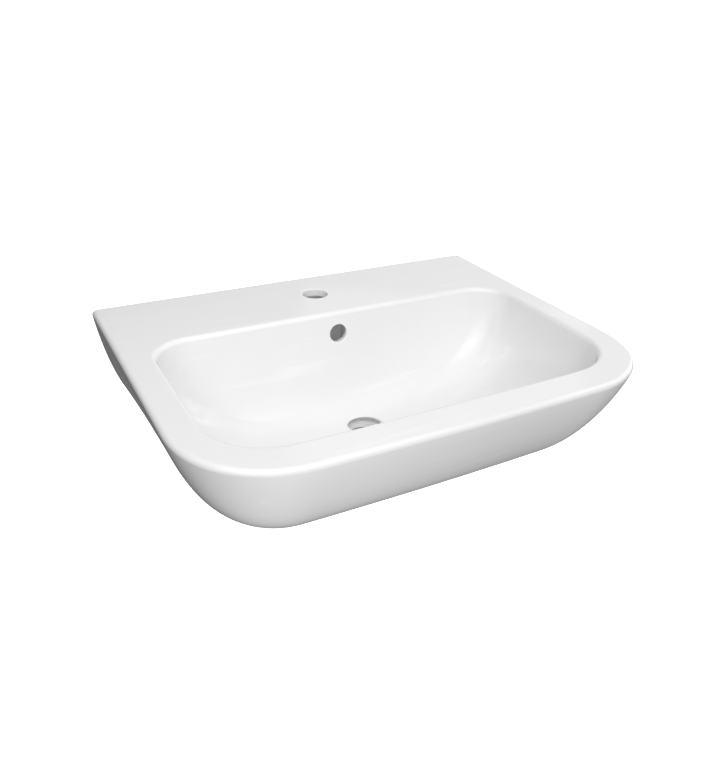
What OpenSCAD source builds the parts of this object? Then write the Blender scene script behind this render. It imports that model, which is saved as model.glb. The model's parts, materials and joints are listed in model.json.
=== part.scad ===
// Wall-hung washbasin in one piece of glazed china, hung on two hanger bolts.
// The wall is the plane y = 0 and the front is towards -y.
// The origin lies on the wall, midway between the two bolts.

/* [Deck] */
// Width along the wall
basin_w = 580; // [540:5:640]
// Depth from the wall to the middle of the front
basin_d = 450; // [430:5:480]
// Radius of the front corners
front_r = 120; // [100:5:140]
// Radius of the back corners
back_r = 3; // [2:0.5:6]
// How far the front falls back from its middle to its corners
front_bow = 6; // [0:1:12]
// Rounding of the top edge at the sides and front
edge_r = 6; // [5:0.5:10]
// Rounding of the top edge along the wall
wall_edge_r = 2; // [1:0.5:3]
// Thickness of the deck
deck_t = 10; // [8:1:14]

/* [Apron] */
// Height from the deck down to the foot
apron_h = 150; // [145:5:170]
// Half width of the foot, as a share of the deck's
foot_w_share = 0.77; // [0.72:0.01:0.85]
// Depth of the foot, as a share of the deck's
foot_d_share = 0.67; // [0.62:0.01:0.75]
// Narrowing of the foot from the wall to its front, as a share
foot_taper = 0.25; // [0.1:0.05:0.3]
// Radius of the foot's front corners
foot_r = 28; // [20:2:50]
// How soon the apron leaves the upright, higher is later
apron_curve = 1.15; // [1.05:0.05:1.4]
// How sharply the apron turns in under the bowl
apron_turn = 2.5; // [2:0.1:3]
// Thickness of the apron
apron_t = 9; // [8:0.5:12]
// Thickness of the wall behind the bolts' nuts
back_t = 20; // [18:1:28]
// Width of the flat foot
foot_t = 12; // [9:1:15]
// Height of the hollow inside the foot
foot_recess = 10; // [6:1:12]

/* [Bowl] */
// Width of the bowl's opening
bowl_w = 504; // [470:2:510]
// Distance from the wall to the bowl
ledge_d = 136; // [126:1:145]
// Width of the front rim at its middle
rim_d = 46; // [42:1:60]
// Radius of the bowl's back corners
bowl_back_r = 46; // [35:1:60]
// Radius of the bowl's front corners
bowl_front_r = 78; // [60:1:90]
// Rounding of the bowl's top edge
lip_r = 7; // [4:0.5:9]
// Depth from the deck to the waste hole
bowl_h = 127; // [118:1:132]
// Fall of the floor towards the waste hole
floor_fall = 5; // [3:0.5:8]
// Slope of the bowl's upper wall, across for each unit down
draft = 0.12; // [0.05:0.01:0.15]
// How long the bowl's wall stays upright, higher is longer
bowl_curve = 3.2; // [2.5:0.1:4]
// How sharply the wall turns into the floor
bowl_turn = 3; // [2.2:0.1:3.5]
// Thickness of the bowl
bowl_t = 9.5; // [8:0.5:12]

/* [Holes] */
// Diameter of the tap hole
tap_d = 35; // [32:0.5:36]
// Distance from the wall to the tap hole's centre
tap_y = 64; // [58:1:70]
// Diameter of the waste hole
waste_d = 46; // [44:0.5:48]
// Distance from the wall to the waste hole's centre
waste_y = 221; // [210:1:235]
// Angle at which the floor falls towards the wall round the waste hole
waste_tilt = 6; // [0:1:8]
// Diameter of the boss round the waste hole
boss_d = 76; // [68:2:84]
// Distance that the boss reaches below the foot
boss_drop = 18; // [12:1:25]
// Diameter of the overflow hole
overflow_d = 24.5; // [22:0.5:26]
// Distance of the overflow hole's centre below the deck
overflow_drop = 30; // [27:1:36]
// Width of the overflow duct
duct_w = 40; // [32:1:46]
// Depth of the overflow duct from front to back
duct_d = 21; // [16:1:24]

/* [Fixings] */
// Distance between the two bolts
fixing_pitch = 280; // [240:5:300]
// Distance of the bolts below the deck
fixing_drop = 78; // [70:1:90]
// Diameter of the holes in the china for the bolts
fixing_hole_d = 18; // [17:0.5:20]
// Diameter of the pads round those holes
pad_d = 48; // [44:1:56]
// Height of the pads
pad_t = 6; // [3:1:8]
// Diameter of the bolts
bolt_d = 10; // [8:1:12]
// Length of bolt in the wall
bolt_in_wall = 78; // [74:1:84]
// Diameter of the wall plugs
plug_d = 14; // [13:0.5:16]
// Length of the wall plugs
plug_l = 70; // [60:1:72]
// Diameter of the bushes' collars
collar_d = 30; // [26:1:34]
// Thickness of the bushes' collars
collar_t = 3; // [2:0.5:4]
// Thickness of the washers
washer_t = 2.5; // [2:0.5:3]
// Diameter of the washers
washer_d = 28; // [26:1:30]

/* [Hidden] */
$fn = 64;
// Small overlap that makes a cut run out of its solid
over = 0.5;
// Roundness of the plan's corners, where 2 is a circle
corner_shape = 2.24;
china_white = "#f4f5f5";
steel = "#b9bcc0";
nylon = "#e9e7df";
plug_grey = "#8b8f94";

// Points along half of an outline: back, back corner, side, front corner, front
n_back = 5;
n_turn = 4;
n_side = 8;
n_bend = 12;
n_front = 7;
n_half = n_back + n_turn + n_side + n_bend + n_front;
n_all = 2 * n_half;

// Levels below the deck in this frame
deck_z = fixing_drop;
wall_h = apron_h - edge_r;
boss_z = -apron_h - boss_drop;
belly_z = -bowl_h - bowl_t - 1;
bore_r = waste_d / 2;
core_r = bore_r - 3;
// Lowest levels of the hollow at the back and sides, and along the front
floor_t = 9;
hollow_low = foot_recess - apron_h + floor_t;
hollow_low_front = 0.72 * -apron_h;
hollow_r = 14;
// Where the china's regions meet: behind the rim, above the foot and round the waste hole
rim_y = -ledge_d - 1;
foot_z = hollow_low + 1;
boss_r = boss_d / 2;
wide = 2 * basin_w;
// Width of the opening below the ledge, as a share of the basin's
service_share = 0.64;
service_x = service_share * basin_w / 2;
service_front = -ledge_d - 6;
// The planes at which the regions of the bowl and the apron meet
bowl_l = basin_d - ledge_d - rim_d;
bowl_side_x = 0.3 * bowl_w;
bowl_back_y = -ledge_d - 0.125 * bowl_l;
bowl_front_y = -ledge_d - 0.82 * bowl_l;
apron_side_x = 0.31 * basin_w;
foot_side_x = service_x - 1;
// The overflow duct's back face, its skin and the slot where it meets the waste hole
duct_back = duct_d - ledge_d + 7;
duct_skin = 9;
case_reach = 30;
duct_h = 14;
duct_slot_w = duct_w - 8;
// Length of a bush's sleeve in the china
sleeve_l = 16;
seat_at = back_t + pad_t;
nut_af = 1.7 * bolt_d;
nut_h = 0.8 * bolt_d;
// Places along a bolt, counted from the wall towards the front
washer_at = seat_at + collar_t;
nut_at = washer_at + washer_t;
bolt_end = nut_at + nut_h + 4;
drive_h = 5;
cap_end = bolt_end + drive_h + 4;

function lerp(a, b, t) = a + (b - a) * t;
function clamp01(t) = max(0, min(1, t));
function cos_pow(a, e) = pow(max(0, cos(a)), e);
function sin_pow(a, e) = pow(max(0, sin(a)), e);

// An outline is [half width, back, front, back radius, front radius, taper, bow].
// Its points run from the middle of the back round the right side to the middle of the front.
function half_point(i, o) =
    let (
        hw = o[0],
        d = o[1] - o[2],
        rb = o[3],
        rf = o[4],
        a = n_back,
        b = a + n_turn,
        c = b + n_side,
        e = c + n_bend,
        turn = 90 * (i - a) / n_turn,
        bend = 90 * (i - c) / n_bend,
        p = i < a ? [(hw - rb) * i / n_back, 0]
          : i < b ? [hw - rb + rb * sin(turn), rb - rb * cos(turn)]
          : i < c ? [hw, rb + (d - rf - rb) * (i - b) / n_side]
          : i < e ? [hw - rf + rf * cos_pow(bend, 2 / corner_shape),
                     d - rf + rf * sin_pow(bend, 2 / corner_shape)]
          : [(hw - rf) * (n_half - i) / n_front, d],
        u = p[1] / d
    )
    [p[0] * (1 - o[5] * u), o[1] - p[1] + o[6] * pow(u * p[0] / hw, 2)];

// The same points for the whole loop, with the left side mirrored
function loop_point(i, o) =
    i <= n_half ? half_point(i, o) : let (p = half_point(n_all - i, o)) [-p[0], p[1]];

// An outline pushed outward by g, or drawn in where g is negative
function grow(o, g) = [o[0] + g, o[1] + g, o[2] - g, max(1, o[3] + g), max(1, o[4] + g), o[5], o[6]];
function ring(o, z) = [for (i = [0 : n_all - 1]) let (p = loop_point(i, o)) [p[0], p[1], z]];

deck_line = [basin_w / 2, 0, -basin_d, back_r, front_r, 0, front_bow];
foot_line = [foot_w_share * basin_w / 2, 0, -foot_d_share * basin_d, back_r, foot_r, foot_taper, 2];
bowl_line = [bowl_w / 2, -ledge_d, rim_d - basin_d, bowl_back_r, bowl_front_r, 0, front_bow - 2];

// Outline of the deck's top edge, drawn in by g, less along the wall
function edge_line(g) =
    [basin_w / 2 - g, -g * wall_edge_r / edge_r, g - basin_d, back_r, front_r - g, 0, front_bow];

// Share of the way from the deck's outline to the foot's, at a level z
function apron_share(z) =
    let (h = clamp01((-z - edge_r) / wall_h))
    1 - pow(1 - pow(h, apron_curve), 1 / apron_turn);
function apron_line(z) = lerp(deck_line, foot_line, apron_share(z));

// Share of the way from the bowl's wall to the waste hole, at a level z
function bowl_share(z, depth) =
    let (h = clamp01(-z / depth))
    1 - pow(1 - pow(h, bowl_curve), 1 / bowl_turn);

// A point on the circle round the waste hole that faces point i of the bowl's outline
function waste_point(i, r) =
    let (
        p = loop_point(i, bowl_line),
        dx = p[0],
        dy = p[1] + waste_y,
        k = r / norm([dx, dy])
    )
    [dx * k, dy * k - waste_y];

// A ring of the bowl: q is 0 at the top of the wall and 90 at the waste hole
function bowl_ring(q) =
    let (
        s = 1 - cos_pow(q, 2 / bowl_turn),
        fall = (bowl_h - floor_fall - lip_r) * sin_pow(q, 2 / bowl_curve),
        z = -lip_r - fall - floor_fall * s,
        line = grow(bowl_line, -draft * fall * (1 - s))
    )
    [for (i = [0 : n_all - 1])
        let (p = lerp(loop_point(i, line), waste_point(i, core_r), s))
        [p[0], p[1], z - tan(waste_tilt) * (p[1] + waste_y) * s * s]];

bowl_rings = [for (q = [90, 81, 72, 63, 55, 47, 40, 33, 26, 18, 9, 0]) bowl_ring(q)];

// The skin of the china from the waste hole over the rim and apron to the foot and back
skin_rings = [
    each bowl_rings,
    for (a = [30, 60, 90]) ring(grow(bowl_line, lip_r * (1 - cos(a))), lip_r * (sin(a) - 1)),
    for (a = [0, 30, 60, 90]) ring(edge_line(edge_r * (1 - sin(a))), edge_r * (cos(a) - 1)),
    for (h = [0.1, 0.22, 0.36, 0.5, 0.64, 0.77, 0.88, 0.95, 0.99])
        let (z = -edge_r - wall_h * h) ring(apron_line(z), z),
    ring(grow(apron_line(1 - apron_h), -2), -apron_h),
    ring(grow(apron_line(1 - apron_h), -foot_t), -apron_h),
    ring(grow(apron_line(1 - apron_h), -foot_t - 2), foot_recess - apron_h),
    [for (i = [0 : n_all - 1]) let (p = waste_point(i, core_r)) [p[0], p[1], foot_recess - apron_h]]
];

// Faces between rings that close on themselves, one ring after the next and back to the first
function tube_faces(rows, columns) = [
    for (r = [0 : rows - 1])
        for (i = [0 : columns - 1])
            let (
                j = (i + 1) % columns,
                a = r * columns,
                b = ((r + 1) % rows) * columns
            )
            each [[a + i, b + j, a + j], [a + i, b + i, b + j]]
];

module tube(rows) {
    columns = len(rows[0]);
    polyhedron(points = [for (row = rows) each row], faces = tube_faces(len(rows), columns), convexity = 8);
}

// Lowest level of the hollow between the apron and the bowl, higher along the front
function hollow_floor(i) =
    let (
        y = loop_point(i, deck_line)[1],
        t = clamp01((-y / basin_d - 0.5) / 0.25)
    )
    lerp(hollow_low, hollow_low_front, t * t * (3 - 2 * t));

// The apron's inner side and the bowl's outer side at loop point i and level z
function hollow_out(i, z) =
    let (
        s = apron_share(z),
        line = grow(apron_line(z), -apron_t * (1 + 0.6 * s))
    )
    concat(loop_point(i, [line[0], -back_t, line[2], hollow_r, line[4], line[5], line[6]]), z);
function hollow_in(i, z) =
    let (
        s = bowl_share(z, bowl_h + bowl_t),
        p = lerp(loop_point(i, grow(bowl_line, bowl_t)), waste_point(i, boss_r - 2), s)
    )
    concat(p, z);

// The level at which the bowl's outer side has gone the share s of its way to the waste hole
function belly_level(s) = -(bowl_h + bowl_t) * pow(1 - pow(1 - s, bowl_turn), 1 / bowl_curve);

// Levels of the hollow at loop point i, from its roof to its floor
function hollow_levels(i) = [for (t = [0.12, 0.3, 0.5, 0.7, 0.86, 1]) lerp(-deck_t, hollow_floor(i), t)];

// A point of the hollow's roof, from the apron at t = 0 to the bowl at t = 1
function roof_point(i, t, z) =
    let (p = lerp(hollow_out(i, -deck_t), hollow_in(i, -deck_t), t)) [p[0], p[1], z];

// The bowl's outer side below the hollow, on to the waste hole
function belly_points(i) =
    let (start = bowl_share(hollow_floor(i), bowl_h + bowl_t))
    [for (t = [0.25, 0.5, 0.75, 1]) let (s = lerp(start, 1, t)) hollow_in(i, belly_level(s))];

// A closed solid through rings that all have the same number of points
module loft(columns_of_points) {
    n = len(columns_of_points);
    m = len(columns_of_points[0]);
    sides = [
        for (i = [0 : n - 1])
            for (k = [0 : m - 2])
                let (j = (i + 1) % n)
                each [[i * m + k, i * m + k + 1, j * m + k + 1], [i * m + k, j * m + k + 1, j * m + k]]
    ];
    top = [for (i = [0 : n - 1]) i * m];
    bottom = [for (i = [n - 1 : -1 : 0]) i * m + m - 1];
    polyhedron(
        points = [for (column = columns_of_points) each column],
        faces = concat(sides, [top, bottom]),
        convexity = 6
    );
}

// The point of the bowl's wall at loop point i that lies level with the hollow's roof
function wall_point(i) =
    let (
        last = len(bowl_rings) - 1,
        a = bowl_rings[last - 1][i],
        b = bowl_rings[last][i]
    )
    lerp(a, b, (-deck_t - a[2]) / (b[2] - a[2]));

// The bowl's wall and floor, from the waste hole up inside and down again outside
module bowl_shell() {
    columns = [for (i = [0 : n_all - 1])
        concat(
            [for (k = [0 : len(bowl_rings) - 2]) bowl_rings[k][i]],
            [wall_point(i), roof_point(i, 0.75, -deck_t)],
            [for (z = hollow_levels(i)) hollow_in(i, z)],
            belly_points(i)
        )
    ];
    tube([for (k = [0 : len(columns[0]) - 1]) [for (column = columns) column[k]]]);
}

// All that lies inside the apron: the hollow and, below it, the bowl
module apron_body() {
    loft([for (i = [0 : n_all - 1])
        concat(
            [roof_point(i, 0.25, -deck_t / 2), roof_point(i, 0.25, -deck_t)],
            [for (z = hollow_levels(i)) hollow_out(i, z)],
            [hollow_in(i, hollow_floor(i))],
            belly_points(i)
        )
    ]);
}

module skin() {
    tube(skin_rings);
}

// A slab of space between two levels, from the plane y = back towards the front
module slab(low, high, back) {
    translate([-wide / 2, back - wide, low]) cube([wide, wide, high - low]);
}

// The way in from below, for the nuts and the tap's tails
module service_opening() {
    w = 2 * service_x;
    front = service_front;
    translate([0, 0, boss_z]) linear_extrude(-boss_z) {
        translate([-w / 2, front + hollow_r]) square([w, -front]);
        translate([-w / 2 + hollow_r, front]) square([w - 2 * hollow_r, -front]);
        for (x = [-1, 1]) translate([x * (w / 2 - hollow_r), front + hollow_r]) circle(r = hollow_r);
    }
}

// All that lies further out than x, on the left where side is -1 and on the right where it is 1
module beyond(x, side) {
    translate([side > 0 ? x : -x - wide, -wide, -wide / 2]) cube(wide);
}

// All that lies between the two planes at -x and x, from the plane y = front to the plane y = back
module between(x, front, back) {
    translate([-x, front, -wide / 2]) cube([2 * x, back - front, wide]);
}

// The duct stands on the back of the bowl, inside the hollow
module duct_case() {
    w = duct_w + 2 * duct_skin;
    d = duct_d + duct_skin + case_reach;
    translate([-w / 2, duct_back + duct_skin - d, boss_z - over]) cube([w, d, -deck_t - boss_z + over]);
}

// Under the floor it runs on to the waste hole
module duct_foot() {
    w = duct_w + 2 * duct_skin;
    low = belly_z - duct_h - duct_skin;
    translate([-w / 2, -waste_y, low]) cube([w, waste_y + duct_back + duct_skin, belly_z + 1 - low]);
}

module duct_space() {
    low = belly_z - duct_h;
    translate([-duct_w / 2, duct_back - duct_d, low]) cube([duct_w, duct_d, -low - overflow_drop + overflow_d / 2 + 1.75]);
    translate([-duct_slot_w / 2, -waste_y, low]) cube([duct_slot_w, waste_y + duct_back - over, duct_h]);
}

module fixing_pads() {
    translate([0, 0, -deck_z]) at_bolts() translate([0, 0, back_t - 1]) cylinder(d = pad_d, h = pad_t + 1);
}

module fixing_holes() {
    translate([0, 0, -deck_z]) at_bolts() translate([0, 0, -over])
        cylinder(d = fixing_hole_d, h = back_t + pad_t + 2 * over);
}

module overflow_hole() {
    translate([0, -ledge_d - 3, -overflow_drop]) rotate([90 - atan(draft), 0, 0])
        translate([0, 0, -duct_d]) cylinder(d = overflow_d, h = 2 * duct_d);
}

module boss_zone() {
    translate([0, -waste_y, boss_z]) cylinder(r = boss_r, h = -boss_z);
}

// The two bolts' axes, with z along each bolt from the wall's face towards the front
module at_bolts() {
    for (side = [-1, 1])
        translate([side * fixing_pitch / 2, 0, 0]) rotate([90, 0, 0]) children();
}

// The china is fired in one piece. Its regions are solids that meet face to face.
module china() {
    color(china_white) translate([0, 0, deck_z]) children();
}

// The flat part along the wall, with the tap hole
module ledge() {
    china() difference() {
        skin();
        translate([-wide / 2, rim_y - wide, -wide / 2]) cube(wide);
        slab(-wide, -deck_t, wide / 2);
        translate([0, -tap_y, -2 * deck_t]) cylinder(d = tap_d, h = 3 * deck_t);
    }
}

// The top edge round the sides and front of the bowl
module rim() {
    china() intersection() {
        skin();
        slab(-deck_t, wide, rim_y);
    }
}

module bowl_floor() {
    china() difference() {
        intersection() {
            bowl_shell();
            between(bowl_side_x, bowl_front_y, bowl_back_y);
        }
        duct_case();
        boss_zone();
    }
}

module bowl_left() {
    china() intersection() {
        bowl_shell();
        beyond(bowl_side_x, -1);
        between(wide / 2, bowl_front_y, 0);
    }
}

module bowl_right() {
    china() intersection() {
        bowl_shell();
        beyond(bowl_side_x, 1);
        between(wide / 2, bowl_front_y, 0);
    }
}

module bowl_corner_left() {
    china() intersection() {
        bowl_shell();
        beyond(bowl_side_x, -1);
        between(wide / 2, -wide, bowl_front_y);
    }
}

module bowl_corner_right() {
    china() intersection() {
        bowl_shell();
        beyond(bowl_side_x, 1);
        between(wide / 2, -wide, bowl_front_y);
    }
}

module bowl_front() {
    china() intersection() {
        bowl_shell();
        between(bowl_side_x, -wide, bowl_front_y);
    }
}

module bowl_back() {
    china() difference() {
        intersection() {
            bowl_shell();
            between(bowl_side_x, bowl_back_y, 0);
        }
        duct_case();
    }
}

// The apron hangs from the rim all round the bowl, as far as the back wall
module apron() {
    difference() {
        intersection() {
            skin();
            slab(foot_z, -deck_t, -back_t);
        }
        apron_body();
    }
}

module apron_left() {
    china() intersection() {
        apron();
        beyond(apron_side_x, -1);
    }
}

module apron_right() {
    china() intersection() {
        apron();
        beyond(apron_side_x, 1);
    }
}

module apron_front() {
    china() intersection() {
        apron();
        between(apron_side_x, -wide, -ledge_d);
    }
}

// The apron's top fillet runs on along the wall, below the ledge
module wall_fillet() {
    china() intersection() {
        apron();
        between(apron_side_x, -ledge_d, 0);
    }
}

module back_wall() {
    china() difference() {
        union() {
            intersection() {
                skin();
                translate([-wide / 2, -back_t, -wide - deck_t]) cube(wide);
            }
            fixing_pads();
        }
        fixing_holes();
    }
}

// The flat underside with its rim to stand on, open below the ledge
module foot() {
    difference() {
        intersection() {
            skin();
            slab(-wide, foot_z, -back_t);
        }
        apron_body();
        service_opening();
        duct_case();
        duct_foot();
        boss_zone();
    }
}

module foot_left() {
    china() intersection() {
        foot();
        beyond(foot_side_x, -1);
    }
}

module foot_right() {
    china() intersection() {
        foot();
        beyond(foot_side_x, 1);
    }
}

module foot_front() {
    china() intersection() {
        foot();
        between(foot_side_x, -wide, 0);
    }
}

module overflow_duct() {
    china() difference() {
        union() {
            intersection() {
                skin();
                duct_case();
            }
            duct_foot();
        }
        duct_space();
        overflow_hole();
        boss_zone();
    }
}

module waste_boss() {
    china() difference() {
        union() {
            intersection() {
                skin();
                boss_zone();
            }
            translate([0, -waste_y, boss_z]) cylinder(r = boss_r, h = -boss_z - bowl_h - 4);
        }
        translate([0, -waste_y, boss_z - over]) cylinder(d = waste_d, h = -boss_z);
        duct_space();
    }
}

// A bolt with a wood thread in its plug, a machine thread through the china and a hexagon drive
module hanger_bolt() {
    r = bolt_d / 2;
    root = 0.7 * r;
    pitch = 0.45 * bolt_d;
    turns = floor((bolt_in_wall - 14) / pitch);
    start = -bolt_in_wall + 8;
    rotate_extrude() polygon(concat(
        [[0, -bolt_in_wall], [root, start]],
        [for (k = [0 : turns - 1]) each [[root, start + k * pitch], [r, start + (k + 0.5) * pitch]]],
        [[root, start + turns * pitch], [0.92 * r, -2], [0.92 * r, 3], [r, 3.6]],
        [[r, bolt_end - 1], [r - 1, bolt_end], [0, bolt_end]]
    ));
    translate([0, 0, bolt_end - over]) cylinder(d = 0.7 * bolt_d, h = drive_h + over, $fn = 6);
}

// A tube that is split from its tip, so that the bolt spreads it in the wall
module wall_plug() {
    slot = 1.4;
    head = 20;
    difference() {
        translate([0, 0, -plug_l]) cylinder(d = plug_d, h = plug_l);
        translate([0, 0, -plug_l - over]) cylinder(d = bolt_d + 0.1, h = plug_l + 2 * over);
        for (a = [0, 90])
            rotate(a) translate([-plug_d, -slot / 2, -plug_l - over])
                cube([2 * plug_d, slot, plug_l - head + over]);
    }
}

// A nylon sleeve that centres the bolt in the china, with a collar under the washer
module collar_bush() {
    difference() {
        union() {
            translate([0, 0, seat_at]) cylinder(d = collar_d, h = collar_t);
            translate([0, 0, seat_at - sleeve_l]) cylinder(d = fixing_hole_d - 0.14, h = sleeve_l + over);
        }
        translate([0, 0, seat_at - sleeve_l - over])
            cylinder(d = bolt_d + 0.12, h = sleeve_l + collar_t + 2 * over);
    }
}

module washer() {
    difference() {
        translate([0, 0, washer_at]) cylinder(d = washer_d, h = washer_t);
        translate([0, 0, washer_at - over]) cylinder(d = bolt_d + 0.4, h = washer_t + 2 * over);
    }
}

// A hexagon nut with its corners turned off at both ends
module hex_nut() {
    corner = nut_af / cos(30) / 2;
    cut = 0.1 * nut_af;
    translate([0, 0, nut_at]) difference() {
        intersection() {
            cylinder(r = corner, h = nut_h, $fn = 6);
            rotate_extrude() polygon([
                [0, 0], [corner - cut, 0], [corner, cut / 2],
                [corner, nut_h - cut / 2], [corner - cut, nut_h], [0, nut_h]
            ]);
        }
        translate([0, 0, -over]) cylinder(d = bolt_d + 0.08, h = nut_h + 2 * over);
    }
}

// A domed cap that grips the nut's flats and hides the bolt's end
module nut_cap() {
    skin = 2.2;
    r = nut_af / cos(30) / 2 + skin;
    length = cap_end - nut_at;
    translate([0, 0, nut_at]) difference() {
        rotate_extrude() {
            square([r - 4, length]);
            square([r, length - 4]);
            translate([r - 4, length - 4]) intersection() {
                circle(r = 4);
                square(4);
            }
        }
        translate([0, 0, -over]) cylinder(r = (nut_af + 0.1) / cos(30) / 2, h = nut_h + over, $fn = 6);
        cylinder(d = bolt_d + 2, h = length - skin);
    }
}

module hanger_bolts() {
    color(steel) at_bolts() hanger_bolt();
}

module wall_plugs() {
    color(plug_grey) at_bolts() wall_plug();
}

module collar_bushes() {
    color(nylon) at_bolts() collar_bush();
}

module washers() {
    color(steel) at_bolts() washer();
}

module hex_nuts() {
    color(steel) at_bolts() hex_nut();
}

module nut_caps() {
    color(china_white) at_bolts() nut_cap();
}

ledge();
rim();
bowl_floor();
bowl_left();
bowl_right();
bowl_front();
bowl_back();
bowl_corner_left();
bowl_corner_right();
apron_left();
apron_right();
apron_front();
wall_fillet();
back_wall();
foot_left();
foot_right();
foot_front();
overflow_duct();
waste_boss();
hanger_bolts();
wall_plugs();
collar_bushes();
washers();
hex_nuts();
nut_caps();
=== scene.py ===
import json
import math
import bpy
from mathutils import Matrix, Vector


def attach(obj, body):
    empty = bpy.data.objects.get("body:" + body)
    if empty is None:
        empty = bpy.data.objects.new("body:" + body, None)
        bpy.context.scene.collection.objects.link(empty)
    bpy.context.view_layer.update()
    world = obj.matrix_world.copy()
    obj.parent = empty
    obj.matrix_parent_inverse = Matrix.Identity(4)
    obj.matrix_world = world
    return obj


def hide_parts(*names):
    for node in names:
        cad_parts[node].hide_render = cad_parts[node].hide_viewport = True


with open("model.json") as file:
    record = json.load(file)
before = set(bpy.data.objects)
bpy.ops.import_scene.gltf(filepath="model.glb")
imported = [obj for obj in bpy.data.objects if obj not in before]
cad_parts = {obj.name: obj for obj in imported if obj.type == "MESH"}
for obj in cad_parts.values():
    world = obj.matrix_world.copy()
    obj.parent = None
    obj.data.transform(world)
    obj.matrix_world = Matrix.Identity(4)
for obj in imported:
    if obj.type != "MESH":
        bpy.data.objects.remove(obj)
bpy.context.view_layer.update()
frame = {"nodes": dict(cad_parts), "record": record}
print("frame loaded:", ", ".join(sorted(frame["nodes"])))


class Field:
    # a socket that can be added, multiplied and so on, and leaves math nodes behind
    def __init__(self, tree, socket):
        self.tree = tree
        self.socket = socket

    def math(self, operation, *others):
        node = self.tree.nodes.new("ShaderNodeMath")
        node.operation = operation
        for slot, value in zip(node.inputs, (self,) + others):
            feed(self.tree, slot, value)
        return Field(self.tree, node.outputs[0])

    def __add__(self, other):
        return self.math("ADD", other)

    def __radd__(self, other):
        return self.math("ADD", other)

    def __sub__(self, other):
        return self.math("SUBTRACT", other)

    def __rsub__(self, other):
        return constant(self.tree, other).math("SUBTRACT", self)

    def __mul__(self, other):
        return self.math("MULTIPLY", other)

    def __rmul__(self, other):
        return self.math("MULTIPLY", other)

    def __truediv__(self, other):
        return self.math("DIVIDE", other)

    def __rtruediv__(self, other):
        return constant(self.tree, other).math("DIVIDE", self)

    def __pow__(self, other):
        return self.math("POWER", other)

    def __neg__(self):
        return self.math("MULTIPLY", -1.0)


def feed(tree, slot, value):
    if isinstance(value, Field):
        tree.links.new(value.socket, slot)
    elif isinstance(value, bpy.types.NodeSocket):
        tree.links.new(value, slot)
    else:
        slot.default_value = value


def constant(tree, value):
    if isinstance(value, Field):
        return value
    node = tree.nodes.new("ShaderNodeValue")
    node.outputs[0].default_value = value
    return Field(tree, node.outputs[0])


def mix(a, b, t):
    return a + (b - a) * t


def eased(t):
    return t * t * (3.0 - 2.0 * t)


def limit(a):
    # keeps a share from 0 to 1
    return a.math("MAXIMUM", 0.0).math("MINIMUM", 1.0)


def cosine(a):
    return a.math("COSINE")


def sine(a):
    return a.math("SINE")


def newTree(name, inputs, outputs):
    tree = bpy.data.node_groups.new(name, "GeometryNodeTree")
    for label, kind, value in inputs:
        socket = tree.interface.new_socket(name=label, in_out="INPUT", socket_type=kind)
        if value is not None:
            socket.default_value = value
    for label, kind in outputs:
        tree.interface.new_socket(name=label, in_out="OUTPUT", socket_type=kind)
    start = tree.nodes.new("NodeGroupInput")
    return tree, {o.name: Field(tree, o) for o in start.outputs if o.name}


def addNode(tree, kind, settings=None, **sockets):
    node = tree.nodes.new(kind)
    for key, value in (settings or {}).items():
        setattr(node, key, value)
    for key, value in sockets.items():
        feed(tree, node.inputs[key.replace("_", " ")], value)
    return node


def vector(tree, x, y, z):
    node = tree.nodes.new("ShaderNodeCombineXYZ")
    for slot, value in zip(node.inputs, (x, y, z)):
        feed(tree, slot, value)
    return node.outputs[0]


def sheetOf(tree, columns, rows, shape):
    # a grid whose points go where shape(column, row) says, both from 0 to 1
    grid = addNode(tree, "GeometryNodeMeshGrid", Size_X=1.0, Size_Y=1.0,
                   Vertices_X=columns + 1, Vertices_Y=rows + 1)
    split = addNode(tree, "ShaderNodeSeparateXYZ",
                    Vector=addNode(tree, "GeometryNodeInputPosition").outputs[0])
    column = Field(tree, split.outputs[0]) + 0.5
    row = Field(tree, split.outputs[1]) + 0.5
    place = addNode(tree, "GeometryNodeSetPosition", Geometry=grid.outputs[0],
                    Position=vector(tree, *shape(column, row)))
    return place.outputs[0]


mergeDistance = 0.00002  # sheets meet at their edges, so points closer than this are one


def closedShell(tree, sheets, turned=False):
    join = tree.nodes.new("GeometryNodeJoinGeometry")
    for sheet in sheets:
        tree.links.new(sheet, join.inputs[0])
    merge = addNode(tree, "GeometryNodeMergeByDistance", Geometry=join.outputs[0],
                    Distance=mergeDistance)
    if not turned:
        return merge.outputs[0]
    return addNode(tree, "GeometryNodeFlipFaces", Mesh=merge.outputs[0]).outputs[0]


def endTree(tree, geometry):
    end = tree.nodes.new("NodeGroupOutput")
    tree.links.new(geometry, end.inputs[0])
    return tree


def finishTree(tree, geometry, material):
    real = addNode(tree, "GeometryNodeRealizeInstances", Geometry=geometry)
    dressed = addNode(tree, "GeometryNodeSetMaterial", Geometry=real.outputs[0])
    dressed.inputs["Material"].default_value = material
    return endTree(tree, dressed.outputs[0])


def groupOf(tree, group, given):
    # one use of a smaller tree, fed with the values that it names
    node = tree.nodes.new("GeometryNodeGroup")
    node.node_tree = group
    for slot in node.inputs:
        if slot.name in given:
            feed(tree, slot, given[slot.name])
    return node.outputs[0]


def moved(tree, geometry, place, turn=None):
    node = addNode(tree, "GeometryNodeTransform", Geometry=geometry, Translation=vector(tree, *place))
    if turn:
        feed(tree, node.inputs["Rotation"], vector(tree, *turn))
    return node.outputs[0]


def boxOf(tree, low, high):
    size = [b - a for a, b in zip(low, high)]
    middle = [(a + b) * 0.5 for a, b in zip(low, high)]
    return moved(tree, addNode(tree, "GeometryNodeMeshCube", Size=vector(tree, *size)).outputs[0], middle)


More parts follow.
